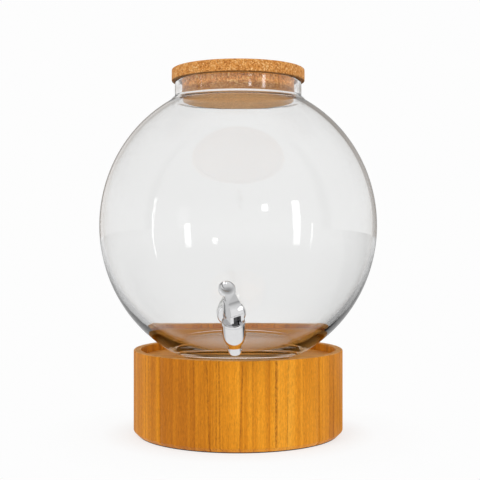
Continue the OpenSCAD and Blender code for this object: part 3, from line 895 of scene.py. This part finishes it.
def make_lever(chrome):
    """The lever, from its side and front views, with its button joined on and its slot and hole cut out."""
    side_view = Matrix(((0, 0, 1, 0), (-1, 0, 0, 0), (0, 1, 0, 0), (0, 0, 0, 1)))
    front_view = Matrix(((1, 0, 0, 0), (0, 0, -1, 0), (0, 1, 0, 0), (0, 0, 0, 1)))
    lever = new_object("lever_plated", prism(lever_side(), -HOOD_W, HOOD_W, side_view), where=AT_PIN)
    front = new_object("front", prism(lever_front(), -40, 40, front_view), where=AT_PIN)
    combine(lever, front, "INTERSECT")
    soften_sides(lever, 1.1)
    combine(lever, new_object("button", lathe(button_profile(), 72), where=AT_BUTTON), "UNION")
    combine(lever, dish_tool(), "DIFFERENCE")
    slot = box_bm((-SLOT_W / 2, -30, -20), (SLOT_W / 2, 5.5, SLOT_TOP))
    combine(lever, new_object("slot", slot, where=AT_PIN), "DIFFERENCE")
    hole_r = PIN_R + 0.01
    hole = lathe([(0, -20), (hole_r, -20), (hole_r, 20), (0, 20)], 32)
    combine(lever, new_object("hole", hole, where=AT_PIN @ turn(90, "Y")), "DIFFERENCE")
    soft_bevel(lever, 0.22, 35)
    sharpen(lever, 36)
    lever.data.materials.clear()
    lever.data.materials.append(chrome)
    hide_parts("lever")
    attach(lever, "lever")


# steps round each turn of the spring, and round its wire
TURN_STEPS, WIRE_STEPS = 24, 8


def make_spring(steel):
    """The valve spring round the stem.

    Its coils close as the valve opens, but here it is built as one fixed coil.
    """
    bm = bmesh.new()
    steps = SPRING_TURNS * TURN_STEPS
    rings = []
    for i in range(steps + 1):
        a, middle = math.tau * i / TURN_STEPS, SPRING_LOW + (SPRING_HIGH - SPRING_LOW) * i / steps
        ring = []
        for j in range(WIRE_STEPS):
            b = math.tau * j / WIRE_STEPS
            r, z = SPRING_R + WIRE_R * math.cos(b), middle + WIRE_R * math.sin(b)
            ring.append(bm.verts.new((r * math.cos(a), r * math.sin(a), z)))
        rings.append(ring)
    for low, high in zip(rings, rings[1:]):
        for j in range(WIRE_STEPS):
            k = (j + 1) % WIRE_STEPS
            bm.faces.new((low[j], high[j], high[k], low[k]))
    bm.faces.new(rings[0])
    bm.faces.new(list(reversed(rings[-1])))
    spring = new_object("spring_coiled", bm, where=AT_LEVER)
    spring.data.materials.append(steel)
    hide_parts("valve_spring")
    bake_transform(spring)


def finish_nodes(materials):
    """Gives the CAD nodes that stay their materials, in every slot of each."""
    for node, mat in materials.items():
        mesh = NODES[node].data
        if not mesh.materials:
            mesh.materials.append(mat)
        for i in range(len(NODES[node].material_slots)):
            NODES[node].material_slots[i].link = "OBJECT"
            NODES[node].material_slots[i].material = mat


# ---- studio ----

# what the camera sees behind and below the object
BACKDROP = flat_grey(0.982)
# each card or lamp: azimuths (0 in front, + to the right), heights and softness in degrees; brightness
STUDIO_CARDS = [
    ((66, 82), (-50, 60), 6, 0.1),
    ((-82, -68), (-50, 60), 6, 0.16),
    ((44, 51), (-16, 17), 1.2, 6.0),
    ((18.5, 24.5), (9.5, 15.5), 1.6, 9.0),
    ((-72.4, -71), (-27, 17), 0.5, 7.0),
    ((-50, -38), (-14, 14), 3, 1.5),
]
# anything brighter than this is a lamp
LAMP_LEVEL = 1.5
# far enough for the floor to run out of sight
STUDIO_R = 6000


def radians(*degrees):
    return [math.radians(d) for d in degrees]


def side_grey(kit, x, z):
    """How bright the studio looks mirrored inside the glass: greyer to the right, dark overhead."""
    side = kit.grey(kit.unit(x), [(0.0, 0.86), (0.6, 0.82), (1.0, 0.66)])
    return kit.shade(side, kit.grey(z, [(0.12, 1.0), (0.36, 0.46), (0.6, 0.3)]))


def studio_walls(kit, x, y, z):
    """The studio by direction: white floor and grey wall in front, white backdrop behind, dark above it."""
    height, back = kit.unit(z), kit.unit(y)
    front = kit.grey(height, [
        (0.0, 0.95), (0.47, 0.93), (0.53, 0.84), (0.67, 0.76), (0.85, 0.66), (0.95, 0.42), (1.0, 0.3)])
    behind = kit.math("MULTIPLY", kit.grey(back, [(0.5, 0.0), (0.72, 1.0)]),
                      kit.grey(height, [(0.8, 1.0), (0.9, 0.0)]))
    over = kit.math("MULTIPLY", kit.grey(back, [(0.52, 0.0), (0.62, 1.0)]),
                    kit.grey(height, [(0.86, 0.0), (0.95, 1.0)]))
    lit = kit.mix(behind, front, flat_grey(0.98))
    lit = kit.mix(over, lit, flat_grey(0.13))
    # a dark surround close behind, which glass mirrors only at its very edges
    edge_start = kit.grey(kit.math("ADD", kit.math("MULTIPLY", x, 2.0), 0.5), [(0.0, 0.9), (1.0, 0.79)])
    rim = kit.math("DIVIDE", kit.math("SUBTRACT", y, edge_start), 0.035, True)
    return kit.mix(rim, lit, flat_grey(0.34))


def add_cards(kit, lit, turned, raised):
    """Lays the cards and lamps over the walls, by azimuth and height."""
    for azimuths, heights, soft, brightness in STUDIO_CARDS:
        across = kit.between(turned, *radians(*azimuths, soft))
        upright = kit.between(raised, *radians(*heights, soft))
        lit = kit.mix(kit.math("MULTIPLY", across, upright), lit, flat_grey(brightness))
    return lit


def make_world():
    """White all round for what is seen directly or through glass, and the studio for reflections."""
    world = bpy.data.worlds.new("studio")
    bpy.context.scene.world = world
    kit = empty_tree(world)
    path = kit.add("ShaderNodeLightPath").outputs
    way = kit.add("ShaderNodeTexCoord").outputs["Generated"]
    x, y, z = kit.add("ShaderNodeSeparateXYZ", {0: way}).outputs
    lit = add_cards(kit, studio_walls(kit, x, y, z), kit.azimuth(x, y), kit.math("ARCSINE", z))
    level = kit.add("ShaderNodeSeparateColor", {0: lit}).outputs[0]
    lamp = kit.math("GREATER_THAN", level, LAMP_LEVEL)
    glossy, through = kit.kind_of_ray(path)
    inside = kit.math("MULTIPLY", glossy, through)
    seen = kit.mix(glossy, flat_grey(0.985), lit)
    mirrored = kit.math("MULTIPLY", inside, kit.math("SUBTRACT", 1.0, lamp))
    seen = kit.mix(mirrored, seen, side_grey(kit, x, z))
    # light that has crossed the thick foot of the glass several times comes out brown from the wood
    deep = kit.math("MULTIPLY", kit.math("GREATER_THAN", path["Glossy Depth"], 1.5), inside)
    brown = kit.ramp(kit.math("ABSOLUTE", x), [(0.35, (0.3, 0.2, 0.11)), (0.7, (0.66, 0.65, 0.63))])
    seen = kit.mix(deep, seen, brown)
    seen = kit.mix(path["Is Diffuse Ray"], seen, flat_grey(0.72))
    seen = kit.mix(path["Is Camera Ray"], seen, BACKDROP)
    light = kit.add("ShaderNodeBackground", {"Color": seen, "Strength": 1.0})
    kit.add("ShaderNodeOutputWorld", {"Surface": light.outputs[0]})


def floor_lamp(kit, azimuths, low, soft, turned, away):
    """Where the globe's side shows, mirrored in the floor, the part of a lamp below the horizon."""
    middle = math.radians(sum(azimuths) / 2)
    aside = kit.math("DIVIDE", GLOBE_A * MM * math.sin(middle / 2), away)
    across = kit.between(kit.math("ADD", turned, aside), *radians(*azimuths, soft))
    nearest = GLOBE_A * MM + GLOBE_Z * MM / math.tan(math.radians(-low))
    beyond = kit.math("DIVIDE", kit.math("SUBTRACT", away, nearest), 0.2, True)
    return kit.math("MULTIPLY", across, beyond)


def floor_mirror(kit, turned, away):
    """The floor's brightness in a reflection, all round the object."""
    lit = kit.grey(kit.math("ADD", kit.math("DIVIDE", turned, math.tau), 0.5), [
        (0.0, 0.62), (0.2, 0.62), (0.25, 0.5), (0.33, 0.84), (0.5, 0.86), (0.66, 0.84), (0.72, 0.6),
        (0.745, 0.5), (0.76, 0.05), (0.85, 0.05), (0.87, 0.55), (1.0, 0.62)])
    for azimuths, heights, soft, brightness in STUDIO_CARDS:
        if brightness > LAMP_LEVEL and heights[0] < 0:
            lamp = floor_lamp(kit, azimuths, heights[0], soft, turned, away)
            lit = kit.mix(lamp, lit, flat_grey(brightness))
    return lit


def make_floor():
    """A pale floor that takes a soft shadow near the object and runs out into the white backdrop."""
    bm = bmesh.new()
    bmesh.ops.create_circle(bm, cap_ends=True, segments=96, radius=STUDIO_R)
    floor = new_object("studio_floor", bm)
    mat = bpy.data.materials.new("studio_floor")
    kit = empty_tree(mat)
    path = kit.add("ShaderNodeLightPath").outputs
    place = kit.place()
    away = kit.add("ShaderNodeVectorMath", {0: place}, operation="LENGTH").outputs["Value"]
    heading = kit.add("ShaderNodeVectorMath", {0: place}, operation="NORMALIZE").outputs["Vector"]
    x, y, _ = kit.add("ShaderNodeSeparateXYZ", {0: heading}).outputs
    glossy, through = kit.kind_of_ray(path)
    paint = kit.add("ShaderNodeBsdfDiffuse", {"Color": flat_grey(0.93)})
    glow = kit.add("ShaderNodeEmission", {"Color": BACKDROP, "Strength": 1.0})
    mirror = kit.add("ShaderNodeEmission", {"Color": floor_mirror(kit, kit.azimuth(x, y), away),
                                            "Strength": 1.0})
    inside = kit.add("ShaderNodeEmission", {"Color": side_grey(kit, x, 0.0), "Strength": 1.0})
    fade = kit.grey(away, [(0.114, 0.7), (0.15, 0.94), (0.22, 1.0)])
    shown = kit.blend(fade, paint, glow)
    shown = kit.blend(glossy, shown, mirror)
    shown = kit.blend(kit.math("MULTIPLY", glossy, through), shown, inside)
    kit.add("ShaderNodeOutputMaterial", {"Surface": shown.outputs[0]})
    floor.data.materials.append(mat)


def soft_light(name, place, aim, size, watts):
    """A rectangle of light, in metres, that lights the object and isn't seen or mirrored itself."""
    lamp = bpy.data.lights.new(name, "AREA")
    lamp.shape = "RECTANGLE"
    lamp.size, lamp.size_y = size
    lamp.energy = watts
    obj = bpy.data.objects.new(name, lamp)
    obj.location = place
    obj.rotation_euler = (Vector(aim) - Vector(place)).to_track_quat("-Z", "Y").to_euler()
    obj.visible_camera = False
    obj.visible_glossy = False
    obj.visible_transmission = False
    bpy.context.scene.collection.objects.link(obj)


def make_camera():
    """Level and straight in front, a little below the globe's middle."""
    cam = bpy.data.cameras.new("camera")
    cam.sensor_width = 36.0
    cam.lens = 74.2
    cam.shift_x = 0.003854
    cam.shift_y = -0.004167
    cam.clip_start = 0.05
    obj = bpy.data.objects.new("camera", cam)
    obj.location = (0.0, -1.079, 0.2114)
    obj.rotation_euler = (math.radians(90), 0, 0)
    bpy.context.scene.collection.objects.link(obj)
    bpy.context.scene.camera = obj


# ---- scene: places in metres, power in watts ----

make_camera()
make_world()
make_floor()
soft_light("key", (-0.9, -1.2, 1.3), (0, 0, 0.2), (0.9, 0.9), 9.0)
soft_light("fill", (1.3, -0.9, 0.6), (0, 0, 0.15), (0.8, 1.2), 5.0)

for k in range(STAVES):
    make_stave(k)
make_floor_panel()
make_globe()
make_lid()
chrome = plated_chrome("tap_chrome", 0.86)
make_tap_body(chrome)
make_lever(chrome)
rubber = dull("gasket_rubber", (0.035, 0.035, 0.036), 0.6)
silicone = dull("silicone", (0.62, 0.63, 0.62), 0.45)
steel = brushed("turned_steel", 0.6)
make_spring(steel)
finish_nodes({
    "base_foot_ring": dull("foot_rubber", (0.03, 0.028, 0.026), 0.75),
    "spigot_outer_gasket": silicone,
    "spigot_inner_gasket": silicone,
    "stem_seal_ring": rubber,
    "valve_seal": rubber,
    "spigot_slip_washer": steel,
    "spigot_lock_nut": dull("nut_nylon", (0.7, 0.7, 0.68), 0.4),
    "spring_washer": steel,
    "lever_pivot_pin": steel,
    "valve_bonnet": chrome,
    "valve_stem": dull("stem_plastic", (0.09, 0.09, 0.094), 0.42),
})

scene = bpy.context.scene
scene.view_settings.view_transform = "Standard"
scene.view_settings.look = "None"
scene.cycles.max_bounces = 24
scene.cycles.transmission_bounces = 20
scene.cycles.glossy_bounces = 12
scene.cycles.transparent_max_bounces = 16
scene.cycles.use_denoising = True
